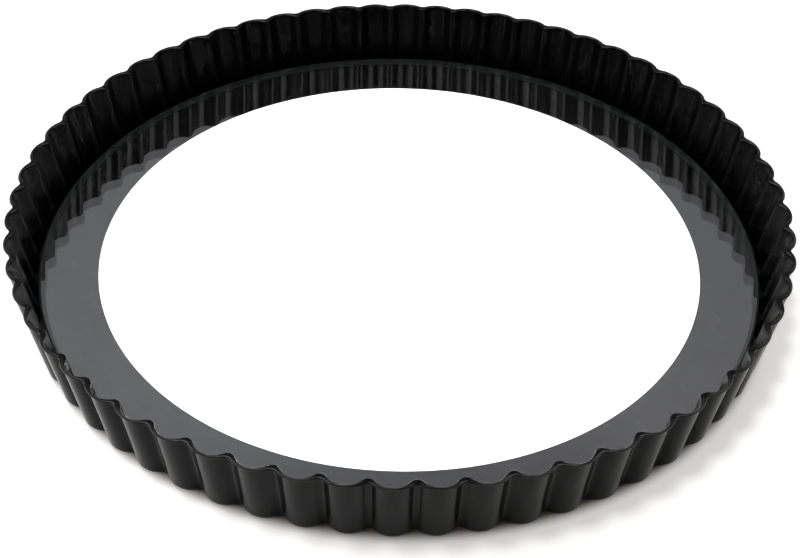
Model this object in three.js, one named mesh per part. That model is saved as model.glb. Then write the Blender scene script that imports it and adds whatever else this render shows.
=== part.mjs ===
// Loose-bottomed tart tin: a fluted ring pressed from coated sheet steel, and a clear glass disc that
// lies loose on the ring's inward ledge and is pushed up out of it to serve.
// Millimetres, +Z up. The origin is on the axis, on the surface that the tin stands on.
// A flute's crown lies on +X.

import * as THREE from 'three';
import { mergeVertices } from 'three/addons/utils/BufferGeometryUtils.js';

// Ring
const rimRadius = 140; // axis to the lip's edge, on a flute's crown
const lipEdgeHeight = 27.3; // table to the lip's edge, on the outer face
const sheet = 0.75; // steel with its coating
const draftAngle = THREE.MathUtils.degToRad(9.1); // how far the wall leans out from upright
const bendRadius = 3; // outside of the bend between wall and ledge
const ledgeWidth = 19.15; // flat seat, from the grooves' foot to the hole

// Lip: the wall's top is bent out into a narrow flange, which stiffens the raw edge
const lipBendRadius = 0.25; // on the outer face
const lipLean = THREE.MathUtils.degToRad(80); // from upright
const lipWidth = 0.15; // straight part past the bend, on a crown

// Flutes: wide crowns that bulge outward, with narrow round grooves between them
const fluteCount = 62;
const fluteDepth = 3.3; // crown to groove, at the top of the wall
const footFluteDepth = 2.95; // at its foot
const lipFluteDepth = 1.9; // on the lip's edge, so that the lip is wider across the grooves
const grooveRadius = 1.7; // on the outer face, at the top of the wall

// Glass base
const glassThickness = 4.6;
const glassEdgeRadius = 1; // ground round of the upper edge
const glassEdgeLand = 0.4; // least straight band between the two rounds, which are smaller on thin glass
const glassClearance = 0.3; // glass to the nearest groove, so that the disc drops in and lifts out

// Facets
const crownSteps = 4; // across one crown
const grooveSteps = 1; // on each half of a groove
const bendSteps = 2;
const lipSteps = 2;
const glassEdgeSteps = 2;
const glassSegments = 2 * fluteCount;

const coatedSteel = new THREE.MeshStandardMaterial({ color: 0x2e2e30, roughness: 0.42, metalness: 0.35 });
const clearGlass = new THREE.MeshStandardMaterial({
  color: 0xdcebe4, roughness: 0.03, metalness: 0, transparent: true, opacity: 0.3,
});

// The wall's section on a crown, from which every other height and radius of the ring follows
const lipBendOut = lipBendRadius * (Math.cos(draftAngle) - Math.cos(lipLean));
const lipBendUp = lipBendRadius * (Math.sin(lipLean) - Math.sin(draftAngle));
const wallTopRadius = rimRadius - lipWidth * Math.sin(lipLean) - lipBendOut;
const wallTopHeight = lipEdgeHeight - lipWidth * Math.cos(lipLean) - lipBendUp;
const baseRadius = wallTopRadius - wallTopHeight * Math.tan(draftAngle); // where its line meets the table
const bendSetback = bendRadius * Math.tan((Math.PI / 2 - draftAngle) / 2);
const bendStartRadius = baseRadius - bendSetback; // where the flat ledge ends, on a crown
const seatRadius = bendStartRadius - footFluteDepth; // where it ends in a groove
const holeRadius = seatRadius - ledgeWidth;

// One point of the ring's section on its outer face: radius and height on a crown, the direction that
// the face looks in as an angle from level, and the share of the flutes' full depth that they have there.
const sectionPoint = (radius, height, facing, depth) => (
  { radius, height, facing, share: depth / fluteDepth }
);

// The outer face's section, from the hole along the underside, round the bend, up the wall to the lip
function outerSection() {
  const down = -Math.PI / 2;
  const points = [sectionPoint(holeRadius, 0, down, 0)];

  for (let i = 0; i <= bendSteps; i += 1) {
    const facing = THREE.MathUtils.lerp(down, -draftAngle, i / bendSteps);
    const radius = bendStartRadius + bendRadius * Math.cos(facing);
    const height = bendRadius * (1 + Math.sin(facing));
    points.push(sectionPoint(radius, height, facing, footFluteDepth));
  }

  for (let i = 0; i <= lipSteps; i += 1) {
    const lean = THREE.MathUtils.lerp(draftAngle, lipLean, i / lipSteps);
    const radius = wallTopRadius + lipBendRadius * (Math.cos(draftAngle) - Math.cos(lean));
    const height = wallTopHeight + lipBendRadius * (Math.sin(lean) - Math.sin(draftAngle));
    points.push(sectionPoint(radius, height, -lean, fluteDepth));
  }
  points.push(sectionPoint(rimRadius, lipEdgeHeight, -lipLean, lipFluteDepth));
  return points;
}

// One flute in plan, from the groove on its right to just short of the groove on its left. Each column has
// its angle from the crown, how far the flutes draw it in, and the direction that the outer face looks in.
// Crown and groove are arcs that meet on a common tangent.
function fluteColumns() {
  const halfPitch = Math.PI / fluteCount;
  const grooveCentreRadius = rimRadius - fluteDepth + grooveRadius;
  const grooveX = grooveCentreRadius * Math.cos(halfPitch);
  const grooveY = grooveCentreRadius * Math.sin(halfPitch);
  const inset = rimRadius - grooveX;
  const crownRadius = (inset ** 2 + grooveY ** 2 - grooveRadius ** 2) / (2 * (grooveRadius + inset));
  const crownX = rimRadius - crownRadius;
  const tangent = Math.atan2(grooveY, grooveX - crownX);

  const column = (x, y, facing) => ({
    angle: Math.atan2(y, x),
    drawnIn: rimRadius - Math.hypot(x, y),
    facing,
  });
  const grooveColumn = (side, step) => {
    const facing = THREE.MathUtils.lerp(halfPitch, tangent, step / grooveSteps);
    const x = grooveX - grooveRadius * Math.cos(facing);
    const y = grooveY - grooveRadius * Math.sin(facing);
    return column(x, side * y, side * facing);
  };

  const columns = [];
  for (let i = 0; i < grooveSteps; i += 1) {
    columns.push(grooveColumn(-1, i));
  }
  for (let i = 0; i <= crownSteps; i += 1) {
    const facing = THREE.MathUtils.lerp(-tangent, tangent, i / crownSteps);
    columns.push(column(crownX + crownRadius * Math.cos(facing), crownRadius * Math.sin(facing), facing));
  }
  for (let i = grooveSteps - 1; i > 0; i -= 1) {
    columns.push(grooveColumn(1, i));
  }
  return columns;
}

// One closed line round the tin at a point of the section, set back from the outer face by a depth of metal
function ringLine(point, depth, flute) {
  const line = [];
  for (let i = 0; i < fluteCount; i += 1) {
    const crownAngle = (2 * Math.PI * i) / fluteCount;
    for (const column of flute) {
      const angle = crownAngle + column.angle;
      const facing = crownAngle + THREE.MathUtils.lerp(column.angle, column.facing, point.share);
      const radius = point.radius - point.share * column.drawnIn;
      const level = depth * Math.cos(point.facing);
      line.push(new THREE.Vector3(
        radius * Math.cos(angle) - level * Math.cos(facing),
        radius * Math.sin(angle) - level * Math.sin(facing),
        point.height - depth * Math.sin(point.facing),
      ));
    }
  }
  return line;
}

// A closed skin through closed lines of equally many points, the last joined to the first
function skinThrough(lines) {
  const columns = lines[0].length;
  const index = [];
  for (let row = 0; row < lines.length; row += 1) {
    const here = row * columns;
    const above = ((row + 1) % lines.length) * columns;
    for (let column = 0; column < columns; column += 1) {
      const next = (column + 1) % columns;
      index.push(here + column, here + next, above + next);
      index.push(here + column, above + next, above + column);
    }
  }
  const geometry = new THREE.BufferGeometry().setFromPoints(lines.flat());
  geometry.setIndex(index);
  geometry.computeVertexNormals();
  return geometry;
}

// Wall, lip and ledge are one sheet: up the outer face, over the lip's edge and back down the inner face
function flutedRing() {
  const section = outerSection();
  const flute = fluteColumns();
  const outer = section.map((point) => ringLine(point, 0, flute));
  const inner = section.map((point) => ringLine(point, sheet, flute));
  const ring = new THREE.Mesh(skinThrough([...outer, ...inner.reverse()]), coatedSteel);
  ring.name = 'fluted_ring';
  return ring;
}

// A quarter round of the disc's edge, from its flat face out to its rim
function edgeRound(rimOfDisc, round, height) {
  const points = [];
  for (let i = 0; i <= glassEdgeSteps; i += 1) {
    const turn = (Math.PI / 2) * (i / glassEdgeSteps);
    const radius = rimOfDisc - round * (1 - Math.sin(turn));
    points.push(new THREE.Vector2(radius, height(round * (1 - Math.cos(turn)))));
  }
  return points;
}

// The disc's lower edge nests in the bend at the grooves' foot, and its flat underside lies on the ledge
function glassBase() {
  const upperRound = Math.min(glassEdgeRadius, (glassThickness - glassEdgeLand) / 2);
  const lowerRound = Math.min(bendRadius - sheet, glassThickness - glassEdgeLand - upperRound);
  const glassRadius = seatRadius + lowerRound - glassClearance;

  const lower = edgeRound(glassRadius, lowerRound, (rise) => rise);
  const upper = edgeRound(glassRadius, upperRound, (rise) => glassThickness - rise).reverse();
  const profile = [new THREE.Vector2(0, 0), ...lower, ...upper, new THREE.Vector2(0, glassThickness)];

  const lathe = new THREE.LatheGeometry(profile, glassSegments);
  lathe.rotateX(Math.PI / 2);
  lathe.deleteAttribute('normal');
  lathe.deleteAttribute('uv');
  const geometry = mergeVertices(lathe);
  geometry.computeVertexNormals();

  const base = new THREE.Mesh(geometry, clearGlass);
  base.name = 'glass_base';
  base.position.z = sheet;
  return base;
}

const tartTin = new THREE.Group();
tartTin.add(flutedRing(), glassBase());

export default tartTin;
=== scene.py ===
import math

import bpy
import numpy as np
from mathutils import Matrix, Vector


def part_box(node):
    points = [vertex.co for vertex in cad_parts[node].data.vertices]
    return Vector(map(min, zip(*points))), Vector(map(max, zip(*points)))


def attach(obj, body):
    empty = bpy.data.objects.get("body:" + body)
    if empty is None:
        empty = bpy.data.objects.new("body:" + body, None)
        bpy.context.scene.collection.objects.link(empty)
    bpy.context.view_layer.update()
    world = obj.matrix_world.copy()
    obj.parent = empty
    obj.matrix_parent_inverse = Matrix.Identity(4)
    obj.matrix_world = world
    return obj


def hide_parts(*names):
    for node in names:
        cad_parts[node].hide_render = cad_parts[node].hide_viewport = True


# Looks of a loose-bottomed tart tin: a fluted ring of sheet steel with a dark non-stick coating, and a
# clear glass disc that lies loose on the ring's ledge. Metres, +Z up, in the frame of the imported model.

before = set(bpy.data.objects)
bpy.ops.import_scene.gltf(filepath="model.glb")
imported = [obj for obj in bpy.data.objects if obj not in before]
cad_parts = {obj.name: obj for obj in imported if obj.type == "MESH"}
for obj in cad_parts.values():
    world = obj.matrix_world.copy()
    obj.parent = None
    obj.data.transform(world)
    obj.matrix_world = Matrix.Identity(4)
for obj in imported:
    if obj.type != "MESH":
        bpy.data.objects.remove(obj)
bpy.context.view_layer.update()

MM = 0.001
WHITE = (1.0, 1.0, 1.0, 1.0)

# Ring, on its outer face, with a flute's crown on +X
RIM_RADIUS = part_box("fluted_ring")[1].x
RING_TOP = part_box("fluted_ring")[1].z
SHEET = 0.75 * MM
DRAFT = math.radians(9.1)
BEND_RADIUS = 3.0 * MM
LEDGE_WIDTH = 19.15 * MM
LIP_BEND_RADIUS = 0.25 * MM
LIP_LEAN = math.radians(80)
LIP_WIDTH = 0.15 * MM  # straight part past the bend, on a crown
FLUTE_COUNT = 62
FLUTE_DEPTH = 3.3 * MM  # at the wall's top
FOOT_FLUTE_DEPTH = 2.95 * MM
LIP_FLUTE_DEPTH = 1.9 * MM  # on the lip's edge
GROOVE_RADIUS = 1.7 * MM
EDGE_ROUND = 0.12 * MM  # how far the sheet's cut edges bulge under the coating

# Glass base
GLASS_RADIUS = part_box("glass_base")[1].x
GLASS_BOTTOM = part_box("glass_base")[0].z
GLASS_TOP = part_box("glass_base")[1].z
GLASS_EDGE_RADIUS = 1.0 * MM
GLASS_FOOT_RADIUS = BEND_RADIUS - SHEET
GLASS_LIFT = 0.06 * MM  # film of air between the glass and the ledge

# Fineness of the meshes
CROWN_STEPS = 10
GROOVE_STEPS = 3  # on each half of a groove
BEND_STEPS = 8
WALL_SHARES = (0.02, 0.25, 0.5, 0.75, 0.98)  # rows between foot and lip, close to both bends
LIP_STEPS = 8
FLANGE_STEPS = 3
EDGE_STEPS = 6
LEDGE_SHARES = (0.0, 0.01, 0.35, 0.7, 0.99)  # rows from the hole to the bend
GLASS_SEGMENTS = 4 * FLUTE_COUNT
GLASS_SHARES = (0.25, 0.5, 0.75, 0.95, 0.999)  # rings of a flat face, out to its rounded edge
GLASS_EDGE_STEPS = 8

# Coating: each coat is mottled between a dark and a pale tone, and stippled
OUTER_COAT_DARK = (0.0017, 0.0017, 0.0018, 1.0)
OUTER_COAT_PALE = (0.003, 0.003, 0.0029, 1.0)
OUTER_COAT_IOR = 1.16
INNER_COAT_DARK = (0.001, 0.001, 0.0011, 1.0)
INNER_COAT_PALE = (0.0015, 0.0015, 0.0015, 1.0)
INNER_COAT_IOR = 1.12
COAT_ROUGHNESS = (0.13, 0.18)
MOTTLE_SCALE = 90.0
MOTTLE_DETAIL = 3.0
MOTTLE_BAND = (0.35, 0.65)  # part of the noise that goes from dark to pale
STIPPLE_SCALE = 2600.0
STIPPLE_STRENGTH = 0.03
STIPPLE_HEIGHT = 0.02 * MM
GRAIN_BAND = (0.3, 1.7)  # mottle and stipple added up, from smoothest to roughest
# A lighter mark: on the lip's crowns it is wear together with a painted highlight, on the ledge a faint
# painted sheen
WEAR_AND_SHEEN_COLOR = (0.05, 0.049, 0.045, 1.0)
WEAR_AND_SHEEN_BAND = (0.2, 0.9)  # share of the wear and painted sheen that shows on dark and on pale mottle
LEDGE_PAINTED_SHEEN = 0.04
LIP_WEAR_AND_SHEEN = 1.0  # on a crown, with none in a groove: wear together with a painted highlight

# Clear glass, and its edge, which is ground matt
GLASS_IOR = 1.52
GLASS_SHADE = (0.91, 0.92, 0.92, 1.0)  # of lamp light that comes through the disc
GLASS_DEPTH_COLOR = (0.5, 0.75, 0.65, 1.0)
GLASS_DEPTH_DENSITY = 2.5
GROUND_PALE = (0.42, 0.52, 0.48, 1.0)
# Painted shade on the upper round, a painted highlight near its top, and painted shade seen from inside
GROUND_ROUND_PAINTED_SHADE = (0.0018, 0.0021, 0.002, 1.0)
GROUND_TOP_PAINTED_HIGHLIGHT = (0.016, 0.0195, 0.018, 1.0)
GROUND_INSIDE_PAINTED_SHADE = (0.0065, 0.0082, 0.0075, 1.0)
GROUND_FADE = 0.4 * MM  # band below the upper round in which it turns from pale to the painted shade
PAINTED_HIGHLIGHT_REACH = 0.35 * GLASS_EDGE_RADIUS  # band below the top in which the round turns lighter, a painted highlight
GROUND_ROUGHNESS = 0.6
GROUND_IOR = 1.05

# Camera, at the photograph's viewing angle
IMAGE_WIDTH_PX = 800
FOCAL_LENGTH_PX = 1331.6
SENSOR_WIDTH_MM = 36.0
CAMERA_PLACE = Vector((-18.0, -387.25, 314.665)) * MM
CAMERA_ELEVATION = math.radians(40.184)
CAMERA_ROLL = math.radians(1.267)
CAMERA_TURN = math.radians(-2.704)

# Light: a broad lamp nearly overhead, two round soft lamps above the left and right that only show as
# sheen, and a pale room that is bright behind the tin, and brighter above than low down
OVERHEAD_BEARING = math.radians(176)
OVERHEAD_ELEVATION = math.radians(78)
OVERHEAD_WIDTH = math.radians(12)
OVERHEAD_STRENGTH = 1.1
SOFT_LAMPS = {  # place and diameter
    "left_lamp": (Vector((-158, 13, 371)) * MM, 300 * MM),
    "right_lamp": (Vector((136, -16, 309)) * MM, 200 * MM),
}
SOFT_LAMP_GLOW = 25.0
SOFT_LAMP_SEGMENTS = 48
ROOM_BRIGHT_SIDE = math.radians(110)
ROOM_LEVEL = 0.6
ROOM_SWING = 0.87
ROOM_DIMMEST = 0.04
ROOM_BACK_COLOR = (0.98, 0.985, 1.035, 1.0)
ROOM_FRONT_COLOR = (1.0, 0.82, 0.64, 1.0)
ROOM_COLOR_BAND = 0.6  # the colour changes between plus and minus this cosine from the bright side
ROOM_LOW = 0.65  # share of the light low down
ROOM_RISE = (math.sin(math.radians(36)), math.sin(math.radians(44.5)))  # from low to full, as heights
ROOM_DIP = (math.radians(84), math.radians(50))  # bearing and elevation of a dimmer patch
ROOM_DIP_REACH = math.cos(math.radians(9))
ROOM_DIP_SHARE = 0.7

# Floor: a white table that also glows where it is looked at, apart from a ring under the tin's foot,
# which is a painted shadow; to one side the glow is a painted pool of light
FLOOR_SIZE = 30.0
FLOOR_COLOR = (0.95, 0.95, 0.95, 1.0)
FLOOR_GLOW = 0.5
FLOOR_PAINTED_SHADOW_RING = (119 * MM, 130.5 * MM, 136.4 * MM)  # painted shadow: the ring's inside, darkest line and outside
FLOOR_PAINTED_SHADOW_CENTRE = Vector((0.5, -1.6, 0.0)) * MM  # of the painted shadow's ring, a little to the front, away from the light
FLOOR_PAINTED_LIGHT_SIDE = math.radians(225)  # the glow is stronger on this side, a painted pool of light
FLOOR_PAINTED_LIGHT_RISE = 1.45
FLOOR_PAINTED_LIGHT_RAMP = (112 * MM, 145 * MM)  # distances to that side between which the painted light gets stronger


def lerp(a, b, share):
    return a + (b - a) * share


def unit(bearing, elevation):
    """The direction at a bearing from +X towards +Y and an elevation."""
    level = math.cos(elevation)
    return Vector((level * math.cos(bearing), level * math.sin(bearing), math.sin(elevation)))


# Meshes

def new_piece(name, vertices, faces):
    """A smooth-shaded mesh object."""
    mesh = bpy.data.meshes.new(name)
    mesh.from_pydata(vertices.tolist(), [], faces)
    mesh.shade_smooth()
    mesh.update()
    piece = bpy.data.objects.new(name, mesh)
    bpy.context.scene.collection.objects.link(piece)
    return piece


def add_mask(piece, name, values):
    """A number from 0 to 1 on each vertex, which the materials read by its name."""
    layer = piece.data.attributes.new(name, "FLOAT", "POINT")
    layer.data.foreach_set("value", np.asarray(values, np.float32))


def flute_columns():
    """One flute in plan, from the groove on its right to just short of the one on its left: each column's
    angle from the crown, how far the flute draws it in, and the direction that the outer face looks in.
    Crown and groove are arcs that meet on a common tangent."""
    half_pitch = math.pi / FLUTE_COUNT
    groove_centre = RIM_RADIUS - FLUTE_DEPTH + GROOVE_RADIUS
    groove_x = groove_centre * math.cos(half_pitch)
    groove_y = groove_centre * math.sin(half_pitch)
    inset = RIM_RADIUS - groove_x
    crown_radius = (inset**2 + groove_y**2 - GROOVE_RADIUS**2) / (2 * (GROOVE_RADIUS + inset))
    crown_x = RIM_RADIUS - crown_radius
    tangent = math.atan2(groove_y, groove_x - crown_x)

    columns = []

    def add(x, y, facing):
        columns.append((math.atan2(y, x), RIM_RADIUS - math.hypot(x, y), facing))

    def add_groove(side, step):
        facing = lerp(half_pitch, tangent, step / GROOVE_STEPS)
        x = groove_x - GROOVE_RADIUS * math.cos(facing)
        y = groove_y - GROOVE_RADIUS * math.sin(facing)
        add(x, side * y, side * facing)

    for step in range(GROOVE_STEPS):
        add_groove(-1, step)
    for step in range(CROWN_STEPS + 1):
        facing = lerp(-tangent, tangent, step / CROWN_STEPS)
        add(crown_x + crown_radius * math.cos(facing), crown_radius * math.sin(facing), facing)
    for step in range(GROOVE_STEPS - 1, 0, -1):
        add_groove(1, step)
    return columns


def ring_section():
    """The outer face's section on a crown, from the hole along the underside, round the bend, up the wall
    and out along the lip: radius, height, the angle from level that the face looks in, and the flutes'
    share."""
    lip_out = LIP_BEND_RADIUS * (math.cos(DRAFT) - math.cos(LIP_LEAN))
    lip_up = LIP_BEND_RADIUS * (math.sin(LIP_LEAN) - math.sin(DRAFT))
    edge_height = RING_TOP - SHEET * math.sin(LIP_LEAN)
    edge_radius = RIM_RADIUS - EDGE_ROUND * math.sin(LIP_LEAN) + SHEET / 2 * math.cos(LIP_LEAN)

    wall_top_radius = RIM_RADIUS - LIP_WIDTH * math.sin(LIP_LEAN) - lip_out
    wall_top = edge_height - LIP_WIDTH * math.cos(LIP_LEAN) - lip_up
    base_radius = wall_top_radius - wall_top * math.tan(DRAFT)
    bend_start = base_radius - BEND_RADIUS * math.tan((math.pi / 2 - DRAFT) / 2)
    hole_radius = bend_start - FOOT_FLUTE_DEPTH - LEDGE_WIDTH
    foot_share = FOOT_FLUTE_DEPTH / FLUTE_DEPTH
    edge_share = LIP_FLUTE_DEPTH / FLUTE_DEPTH

    down = -math.pi / 2
    section = []
    for share in LEDGE_SHARES:
        section.append((lerp(hole_radius + EDGE_ROUND, bend_start, share), 0.0, down, foot_share * share))
    for step in range(BEND_STEPS + 1):
        facing = lerp(down, -DRAFT, step / BEND_STEPS)
        radius = bend_start + BEND_RADIUS * math.cos(facing)
        section.append((radius, BEND_RADIUS * (1 + math.sin(facing)), facing, foot_share))
    bend_end_radius, bend_end_height = section[-1][:2]
    for share in WALL_SHARES:
        radius = lerp(bend_end_radius, wall_top_radius, share)
        height = lerp(bend_end_height, wall_top, share)
        section.append((radius, height, -DRAFT, lerp(foot_share, 1.0, share)))
    for step in range(LIP_STEPS + 1):
        lean = lerp(DRAFT, LIP_LEAN, step / LIP_STEPS)
        radius = wall_top_radius + LIP_BEND_RADIUS * (math.cos(DRAFT) - math.cos(lean))
        height = wall_top + LIP_BEND_RADIUS * (math.sin(lean) - math.sin(DRAFT))
        section.append((radius, height, -lean, 1.0))
    bent_radius, bent_height = section[-1][:2]
    for step in range(1, FLANGE_STEPS + 1):
        share = step / FLANGE_STEPS
        radius = lerp(bent_radius, edge_radius, share)
        height = lerp(bent_height, edge_height, share)
        section.append((radius, height, -LIP_LEAN, lerp(1.0, edge_share, share)))
    return section


def ring_line(point, depth, reach, flute):
    """One closed line round the tin at a point of the section, set back from the outer face by a depth of
    metal and moved on along the sheet by a reach."""
    radius, height, facing, fluted = point
    radius -= reach * math.sin(facing)
    height += reach * math.cos(facing)
    level = depth * math.cos(facing)
    angle, drawn_in, looking = np.array(flute).T
    crowns = 2 * math.pi * np.arange(FLUTE_COUNT)[:, None] / FLUTE_COUNT
    turn = crowns + angle
    turned = crowns + lerp(angle, looking, fluted)
    at = radius - fluted * drawn_in
    x = at * np.cos(turn) - level * np.cos(turned)
    y = at * np.sin(turn) - level * np.sin(turned)
    z = np.full_like(x, height - depth * math.sin(facing))
    return np.stack([x.ravel(), y.ravel(), z.ravel()], axis=-1)


def closed_skin(lines):
    """Vertices and faces of a skin through closed lines of equally many points, the last line joined to
    the first."""
    columns = len(lines[0])
    faces = []
    for row in range(len(lines)):
        here = row * columns
        above = ((row + 1) % len(lines)) * columns
        for column in range(columns):
            following = (column + 1) % columns
            faces.append((here + column, here + following, above + following, above + column))
    return np.concatenate(lines), faces


def cut_edge():
    """The sheet's bulging cut edge, from the outer face to the inner one: depth and reach."""
    turns = [math.pi * step / EDGE_STEPS for step in range(1, EDGE_STEPS)]
    return [(SHEET * (1 - math.cos(turn)) / 2, EDGE_ROUND * math.sin(turn)) for turn in turns]


def make_ring():
    """The fluted ring: up the outer face, over the lip's rounded edge, down the inner face and round the
    hole's edge. The inner coat starts on the lip, which is worn and carries a painted highlight on the
    crowns; the ledge carries a faint painted sheen."""
    section = ring_section()
    flute = flute_columns()
    ledge_rows = len(LEDGE_SHARES)
    lip_rows = FLANGE_STEPS + LIP_STEPS // 2
    wall_rows = len(section) - ledge_rows - lip_rows
    # The ledge gets a faint painted sheen, and the lip gets wear with a painted highlight
    wear_and_sheen_by_row = [LEDGE_PAINTED_SHEEN] * ledge_rows + [0.0] * wall_rows + [LIP_WEAR_AND_SHEEN] * lip_rows

    # Each row is a point of the section, a depth, a reach and its share of wear and painted sheen
    rows = [(point, 0.0, 0.0, 0.0) for point in section]
    edge_from = len(rows)
    rows += [(section[-1], depth, reach, reach / EDGE_ROUND) for depth, reach in cut_edge()]
    inner_from = len(rows)
    rows += [(point, SHEET, 0.0, wear_and_sheen_share) for point, wear_and_sheen_share in zip(reversed(section), reversed(wear_and_sheen_by_row))]
    rows += [(section[0], depth, -reach, 0.0) for depth, reach in reversed(cut_edge())]

    lines = [ring_line(point, depth, reach, flute) for point, depth, reach, _ in rows]
    ring = new_piece("coated_ring", *closed_skin(lines))
    per_line = len(lines[0])
    wear_and_sheen = np.repeat([[wear_and_sheen_share] for _, _, _, wear_and_sheen_share in rows], per_line, axis=1)
    drawn_in = np.tile([column[1] for column in flute], FLUTE_COUNT)
    wear_and_sheen[edge_from : inner_from + lip_rows] *= 1 - drawn_in / drawn_in.max()
    add_mask(ring, "wear_and_sheen", wear_and_sheen.ravel())
    inner = np.zeros(len(rows), np.int32)
    inner[inner_from:] = 1
    ring.data.polygons.foreach_set("material_index", np.repeat(inner, per_line))
    return ring


def edge_round(radius):
    """A quarter round of the disc's edge, from a flat face out to the rim: how far each point is in from
    the rim and off the face."""
    turns = [math.pi / 2 * step / GLASS_EDGE_STEPS for step in range(GLASS_EDGE_STEPS + 1)]
    return [(radius * (1 - math.sin(turn)), radius * (1 - math.cos(turn))) for turn in turns]


def make_glass():
    """The glass disc: flat faces and a ground round edge, turned about the axis."""
    bottom = GLASS_BOTTOM + GLASS_LIFT
    top = GLASS_TOP + GLASS_LIFT
    lower_round = edge_round(GLASS_FOOT_RADIUS)
    upper_round = reversed(edge_round(GLASS_EDGE_RADIUS))
    profile = [((GLASS_RADIUS - GLASS_FOOT_RADIUS) * share, bottom) for share in GLASS_SHARES]
    ground_from = len(profile)
    profile += [(GLASS_RADIUS - inset, bottom + rise) for inset, rise in lower_round]
    profile += [(GLASS_RADIUS - inset, top - drop) for inset, drop in upper_round]
    ground_to = len(profile) - 1
    profile += [((GLASS_RADIUS - GLASS_EDGE_RADIUS) * share, top) for share in reversed(GLASS_SHARES)]

    turns = 2 * math.pi * np.arange(GLASS_SEGMENTS) / GLASS_SEGMENTS
    lines = [
        np.stack([radius * np.cos(turns), radius * np.sin(turns), np.full_like(turns, z)], axis=-1)
        for radius, z in profile
    ]
    vertices, faces = closed_skin(lines)
    faces = faces[:-GLASS_SEGMENTS]
    centre_below = len(vertices)
    centre_above = centre_below + 1
    last_line = centre_below - GLASS_SEGMENTS
    for i in range(GLASS_SEGMENTS):
        following = (i + 1) % GLASS_SEGMENTS
        faces.append((centre_below, following, i))
        faces.append((centre_above, last_line + i, last_line + following))
    centres = [(0.0, 0.0, bottom), (0.0, 0.0, top)]
    glass = new_piece("glass_disc", np.concatenate([vertices, centres]), faces)
    matt = np.zeros(len(faces), np.int32)
    matt[ground_from * GLASS_SEGMENTS : ground_to * GLASS_SEGMENTS] = 1
    glass.data.polygons.foreach_set("material_index", matt)
    return glass


# Materials

class Nodes:
    """A material's or world's node tree, with short calls to add and join its nodes."""

    def __init__(self, owner):
        owner.use_nodes = True
        self.tree = owner.node_tree
        self.tree.nodes.clear()

    def add(self, kind, settings=None, **inputs):
        """A node. Its inputs go by name, or by number as slot0, slot1 and so on."""
        node = self.tree.nodes.new("ShaderNode" + kind)
        for name, value in (settings or {}).items():
            setattr(node, name, value)
        for name, value in inputs.items():
            self.set(node, name.replace("_", " "), value)
        return node

    def set(self, node, name, value):
        key = int(name.removeprefix("slot")) if name.startswith("slot") else name
        socket = node.inputs[key]
        if isinstance(value, bpy.types.NodeSocket):
            self.tree.links.new(value, socket)
        else:
            socket.default_value = value

    def noise(self, place, scale, detail=2.0):
        return self.add("TexNoise", Vector=place, Scale=scale, Detail=detail).outputs["Fac"]

    def spread(self, value, low, high, to_low, to_high):
        ends = {"From_Min": low, "From_Max": high, "To_Min": to_low, "To_Max": to_high}
        return self.add("MapRange", Value=value, **ends).outputs["Result"]

    def smooth(self, value, low, high, to_low, to_high):
        result = self.spread(value, low, high, to_low, to_high)
        result.node.interpolation_type = "SMOOTHSTEP"
        return result

    def math(self, operation, *values):
        slots = {f"slot{i}": value for i, value in enumerate(values)}
        return self.add("Math", {"operation": operation}, **slots).outputs[0]

    def vector_math(self, operation, first, second):
        node = self.add("VectorMath", {"operation": operation}, slot0=first, slot1=second)
        return node.outputs["Value"]

    def blend(self, share, first, second):
        """A colour between two, by the Mix node's colour sockets."""
        node = self.add("Mix", {"data_type": "RGBA"}, slot0=share, slot6=first, slot7=second)
        return node.outputs[2]

    def mix(self, share, first, second):
        """A surface between two shaders."""
        node = self.add("MixShader", slot0=share, slot1=first.outputs[0], slot2=second.outputs[0])
        return node.outputs["Shader"]

    def mask(self, name):
        return self.add("Attribute", {"attribute_name": name}).outputs["Fac"]


def new_material(name):
    """A material and its nodes."""
    material = bpy.data.materials.new(name)
    return material, Nodes(material)


def coated_steel(name, dark, pale, index):
    """Satin coating with a fine stipple, and a lighter mark: wear with a painted highlight on the lip's
    crowns, and a faint painted sheen on the ledge.
    """
    material, nodes = new_material(name)
    place = nodes.add("TexCoord").outputs["Object"]
    mottle = nodes.spread(nodes.noise(place, MOTTLE_SCALE, MOTTLE_DETAIL), *MOTTLE_BAND, 0.0, 1.0)
    stipple = nodes.noise(place, STIPPLE_SCALE)

    coat = nodes.blend(mottle, dark, pale)
    # Lighter by the mask: wear with a painted highlight on the lip's crowns, a faint painted sheen on the
    # ledge
    wear_and_sheen = nodes.math("MULTIPLY", nodes.mask("wear_and_sheen"), nodes.spread(mottle, 0.0, 1.0, *WEAR_AND_SHEEN_BAND))
    color = nodes.blend(wear_and_sheen, coat, WEAR_AND_SHEEN_COLOR)
    roughness = nodes.spread(nodes.math("ADD", mottle, stipple), *GRAIN_BAND, *COAT_ROUGHNESS)
    bump = nodes.add("Bump", Height=stipple, Strength=STIPPLE_STRENGTH, Distance=STIPPLE_HEIGHT)
    normal = bump.outputs["Normal"]
    shader = nodes.add("BsdfPrincipled", Base_Color=color, Roughness=roughness, Normal=normal, IOR=index)
    nodes.add("OutputMaterial", Surface=shader.outputs["BSDF"])
    return material


def clear_glass():
    """Polished float glass, faintly green in its depth, that lets lamp light through to the table."""
    material, nodes = new_material("clear_glass")
    polished = nodes.add(
        "BsdfPrincipled", Base_Color=WHITE, Roughness=0.0, IOR=GLASS_IOR, Transmission_Weight=1.0
    )
    shade = nodes.add("BsdfTransparent", Color=GLASS_SHADE)
    lamp_ray = nodes.add("LightPath").outputs["Is Shadow Ray"]
    depth = nodes.add("VolumeAbsorption", Color=GLASS_DEPTH_COLOR, Density=GLASS_DEPTH_DENSITY)
    surface = nodes.mix(lamp_ray, polished, shade)
    nodes.add("OutputMaterial", Surface=surface, Volume=depth.outputs["Volume"])
    return material


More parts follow.
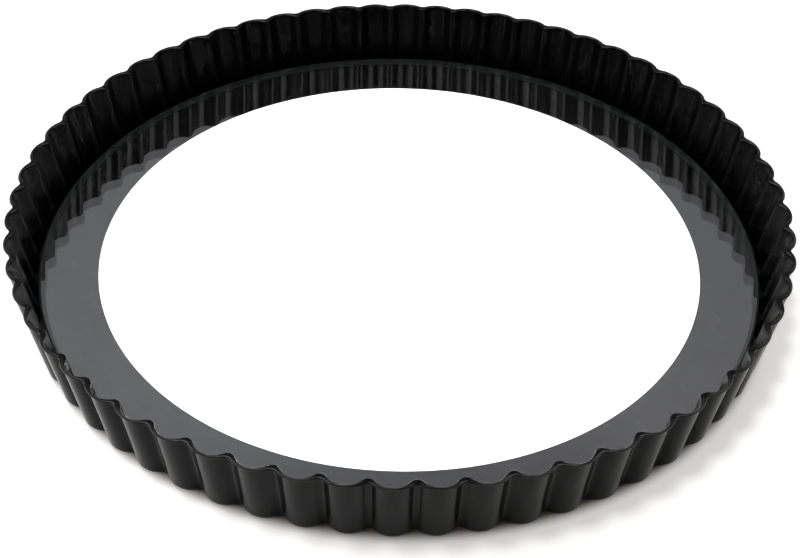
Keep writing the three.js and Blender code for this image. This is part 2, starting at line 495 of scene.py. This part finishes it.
def ground_edge():
    """The disc's matt edge: pale from outside, with a painted shade on its upper round that turns to a
    painted highlight near the top, and a painted shade where it is seen through the glass, which stands
    for most of the light that falls on it there going out of the disc."""
    material, nodes = new_material("ground_edge")
    place = nodes.add("TexCoord").outputs["Object"]
    height = nodes.add("SeparateXYZ", Vector=place).outputs["Z"]
    round_start = GLASS_TOP - GLASS_EDGE_RADIUS
    on_round = nodes.smooth(height, round_start - GROUND_FADE, round_start, 0.0, 1.0)
    near_top = nodes.smooth(height, GLASS_TOP - PAINTED_HIGHLIGHT_REACH, GLASS_TOP, 0.0, 1.0)
    # The upper round: painted shade, turning to a painted highlight near the top
    painted_round_color = nodes.blend(near_top, GROUND_ROUND_PAINTED_SHADE, GROUND_TOP_PAINTED_HIGHLIGHT)
    outside = nodes.blend(on_round, GROUND_PALE, painted_round_color)
    # Seen from inside the disc the edge takes a darker colour: painted shade
    from_inside = nodes.add("NewGeometry").outputs["Backfacing"]
    color = nodes.blend(from_inside, outside, GROUND_INSIDE_PAINTED_SHADE)
    shader = nodes.add("BsdfPrincipled", Base_Color=color, Roughness=GROUND_ROUGHNESS, IOR=GROUND_IOR)
    nodes.add("OutputMaterial", Surface=shader.outputs["BSDF"])
    return material


def dress(piece, materials, body, node):
    """A piece gets its materials and stands for a CAD node on that node's body."""
    for material in materials:
        piece.data.materials.append(material)
    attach(piece, body)
    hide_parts(node)


# Stage

def seen_ray(nodes):
    """1 for rays that show the background: straight from the camera, mirrored, or through glass."""
    path = nodes.add("LightPath").outputs
    mirrored = nodes.math("MAXIMUM", path["Is Glossy Ray"], path["Is Transmission Ray"])
    return nodes.math("MAXIMUM", path["Is Camera Ray"], mirrored)


def make_floor():
    half = FLOOR_SIZE / 2
    corners = np.array([(-half, -half, 0.0), (half, -half, 0.0), (half, half, 0.0), (-half, half, 0.0)])
    floor = new_piece("floor", corners, [(0, 1, 2, 3)])
    material, nodes = new_material("white_table")
    matt = nodes.add("BsdfDiffuse", Color=FLOOR_COLOR)
    place = nodes.add("TexCoord").outputs["Object"]
    # The glow fades out in a ring under the tin's foot: a painted shadow
    from_centre = nodes.vector_math("DISTANCE", place, FLOOR_PAINTED_SHADOW_CENTRE)
    shadow_inside, shadow_darkest, shadow_outside = FLOOR_PAINTED_SHADOW_RING
    inside = nodes.smooth(from_centre, shadow_inside, shadow_darkest, FLOOR_GLOW, 0.0)
    outside = nodes.smooth(from_centre, shadow_darkest, shadow_outside, 0.0, FLOOR_GLOW)
    # Towards one side the glow grows stronger: a painted pool of light
    along = nodes.vector_math("DOT_PRODUCT", place, unit(FLOOR_PAINTED_LIGHT_SIDE, 0.0))
    rise = nodes.spread(along, *FLOOR_PAINTED_LIGHT_RAMP, 1.0, FLOOR_PAINTED_LIGHT_RISE)
    around = nodes.math("MULTIPLY", nodes.math("MAXIMUM", inside, outside), rise)
    glow = nodes.add("Emission", Strength=nodes.math("MULTIPLY", seen_ray(nodes), around))
    both = nodes.add("AddShader", slot0=matt.outputs["BSDF"], slot1=glow.outputs["Emission"])
    nodes.add("OutputMaterial", Surface=both.outputs["Shader"])
    floor.data.materials.append(material)


def make_room():
    """Light from all round, bright behind the tin and dim in front. The camera itself sees plain white."""
    world = bpy.data.worlds.new("room")
    bpy.context.scene.world = world
    nodes = Nodes(world)
    direction = nodes.add("TexCoord").outputs["Generated"]
    towards = nodes.vector_math("DOT_PRODUCT", direction, unit(ROOM_BRIGHT_SIDE, 0.0))
    swing = nodes.math("MULTIPLY_ADD", towards, ROOM_SWING, ROOM_LEVEL)
    all_round = nodes.math("MAXIMUM", swing, ROOM_DIMMEST)
    height = nodes.add("SeparateXYZ", Vector=direction).outputs["Z"]
    rise = nodes.spread(height, *ROOM_RISE, ROOM_LOW, 1.0)
    to_dip = nodes.vector_math("DOT_PRODUCT", direction, unit(*ROOM_DIP))
    dip = nodes.spread(to_dip, ROOM_DIP_REACH, 1.0, 1.0, ROOM_DIP_SHARE)
    strength = nodes.math("MULTIPLY", nodes.math("MULTIPLY", all_round, rise), dip)
    to_back = nodes.spread(towards, -ROOM_COLOR_BAND, ROOM_COLOR_BAND, 0.0, 1.0)
    color = nodes.blend(to_back, ROOM_FRONT_COLOR, ROOM_BACK_COLOR)
    light = nodes.add("Background", Color=color, Strength=strength)
    backdrop = nodes.add("Background", Color=WHITE, Strength=1.0)
    camera_ray = nodes.add("LightPath").outputs["Is Camera Ray"]
    nodes.add("OutputWorld", Surface=nodes.mix(camera_ray, light, backdrop))


def aim(lamp, place):
    """Puts a lamp at a place, shining at the origin."""
    lamp.location = place
    lamp.rotation_euler = place.to_track_quat("Z", "Y").to_euler()


def make_overhead_lamp():
    """The lamp that casts the tin's shadow. Shiny faces don't mirror it."""
    lamp = bpy.data.lights.new("overhead", "SUN")
    lamp.angle = OVERHEAD_WIDTH
    lamp.energy = OVERHEAD_STRENGTH
    stand = bpy.data.objects.new("overhead", lamp)
    aim(stand, unit(OVERHEAD_BEARING, OVERHEAD_ELEVATION))
    stand.visible_glossy = False
    stand.visible_transmission = False
    bpy.context.scene.collection.objects.link(stand)


def make_soft_lamp(name, place, width):
    """A glowing disc that faces the tin. It only shows as sheen: sharp mirror images leave it out."""
    turns = 2 * math.pi * np.arange(SOFT_LAMP_SEGMENTS) / SOFT_LAMP_SEGMENTS
    rim = np.stack([np.cos(turns), np.sin(turns), np.zeros_like(turns)], axis=-1) * width / 2
    disc = new_piece(name, rim, [tuple(range(SOFT_LAMP_SEGMENTS))])
    aim(disc, place)
    disc.visible_camera = False
    disc.visible_diffuse = False
    disc.visible_transmission = False
    disc.visible_shadow = False
    material, nodes = new_material(name)
    glow = nodes.add("Emission", Strength=SOFT_LAMP_GLOW)
    nothing = nodes.add("BsdfTransparent")
    sharp_ray = nodes.add("LightPath").outputs["Is Singular Ray"]
    nodes.add("OutputMaterial", Surface=nodes.mix(sharp_ray, glow, nothing))
    disc.data.materials.append(material)


def make_camera():
    lens = bpy.data.cameras.new("camera")
    lens.sensor_fit = "HORIZONTAL"
    lens.sensor_width = SENSOR_WIDTH_MM
    lens.lens = FOCAL_LENGTH_PX * SENSOR_WIDTH_MM / IMAGE_WIDTH_PX
    camera = bpy.data.objects.new("camera", lens)
    turn = Matrix.Rotation(CAMERA_TURN, 4, "Z")
    tilt = Matrix.Rotation(math.pi / 2 - CAMERA_ELEVATION, 4, "X")
    roll = Matrix.Rotation(CAMERA_ROLL, 4, "Z")
    camera.matrix_world = Matrix.Translation(CAMERA_PLACE) @ turn @ tilt @ roll
    bpy.context.scene.collection.objects.link(camera)
    bpy.context.scene.camera = camera


make_camera()
make_overhead_lamp()
for lamp_name, (lamp_place, lamp_width) in SOFT_LAMPS.items():
    make_soft_lamp(lamp_name, lamp_place, lamp_width)
make_room()
make_floor()
outer_coat = coated_steel("coated_steel", OUTER_COAT_DARK, OUTER_COAT_PALE, OUTER_COAT_IOR)
inner_coat = coated_steel("non_stick_coat", INNER_COAT_DARK, INNER_COAT_PALE, INNER_COAT_IOR)
dress(make_ring(), [outer_coat, inner_coat], "ring", "fluted_ring")
dress(make_glass(), [clear_glass(), ground_edge()], "base", "glass_base")
bpy.context.scene.view_settings.view_transform = "Standard"
